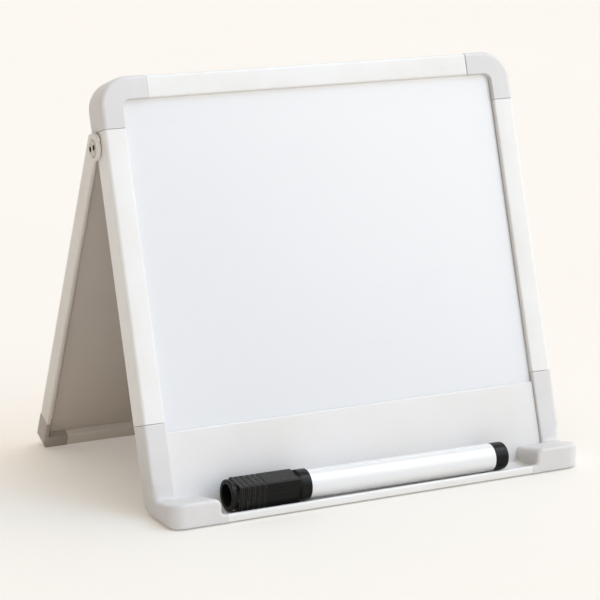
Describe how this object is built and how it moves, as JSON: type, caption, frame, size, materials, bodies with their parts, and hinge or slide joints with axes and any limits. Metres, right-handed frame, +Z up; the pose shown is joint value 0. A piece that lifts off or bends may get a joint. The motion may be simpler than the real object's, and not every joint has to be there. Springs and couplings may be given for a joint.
{
  "type": "desktop whiteboard easel",
  "caption": "Folding A-frame desk easel with a magnetic dry-wipe panel, a hinged rear leg panel and a front tray that holds a capped marker.",
  "frame": {"origin": "bottom centre of the easel's bounding box, on the desk surface, standing open", "axes": "+X across the easel to the viewer's right, +Y to the rear, +Z up; the writing side faces -Y"},
  "size_m": [0.2046, 0.1478, 0.1784],
  "materials": {
    "rail_white": "satin extruded plastic",
    "moulding_white": "fine-grained satin moulding, slightly greyer than the rails",
    "band_white": "smooth satin",
    "enamelled_steel": "glossy dry-wipe enamel",
    "fibreboard": "pressed fibre",
    "backing_white": "thin satin sheet",
    "screw_steel": "nickel-plated, lightly brushed",
    "insert_brass": "machined",
    "washer_nylon": "natural nylon",
    "marker_white": "glossy",
    "marker_black": "semi-gloss moulding",
    "nib_felt": "bonded fibre",
    "ink_wadding": "ink-soaked fibre",
    "eraser_felt": "pressed felt"
  },
  "bodies": {
    "front_panel": {"front_board_backing": "backing_white", "front_board_core": "fibreboard", "front_board_sheet": "enamelled_steel", "front_corner_bottom_left": "moulding_white", "front_corner_bottom_right": "moulding_white", "front_corner_top_left": "moulding_white", "front_corner_top_right": "moulding_white", "front_left_rail": "rail_white", "front_right_rail": "rail_white", "front_top_rail": "rail_white", "front_tray_rail": "moulding_white", "hinge_insert_left": "insert_brass", "hinge_insert_right": "insert_brass", "hinge_screw_left": "screw_steel", "hinge_screw_right": "screw_steel", "hinge_washer_left": "washer_nylon", "hinge_washer_right": "washer_nylon", "lower_band": "band_white"},
    "rear_leg": {"rear_board_backing": "backing_white", "rear_board_core": "fibreboard", "rear_board_sheet": "enamelled_steel", "rear_bottom_rail": "rail_white", "rear_corner_left": "moulding_white", "rear_corner_right": "moulding_white", "rear_left_rail": "rail_white", "rear_right_rail": "rail_white", "rear_top_rail": "rail_white"},
    "marker": {"marker_barrel": "marker_white", "marker_end_plug": "marker_black", "marker_ink_reservoir": "ink_wadding", "marker_nib": "nib_felt", "marker_nib_holder": "marker_black"},
    "marker_cap": {"cap_eraser_felt": "eraser_felt", "cap_shell": "marker_black"}
  },
  "joints": [
    {"name": "rear_fold", "type": "hinge", "parent": "front_panel", "child": "rear_leg", "pos_m": [0, -0.00225, 0.14864], "axis": [1, 0, 0], "range_deg": [-42.3, 0]},
    {"name": "marker_lift", "type": "slide", "parent": "front_panel", "child": "marker", "axis": [0, 0, 1], "range_m": [0, 0.12]},
    {"name": "cap_pull", "type": "slide", "parent": "marker", "child": "marker_cap", "axis": [-1, 0, 0.0073], "range_m": [0, 0.036]}
  ],
  "couplings": [
    {"joint": "cap_pull", "follows": "marker_lift", "ratio": 0.3}
  ]
}
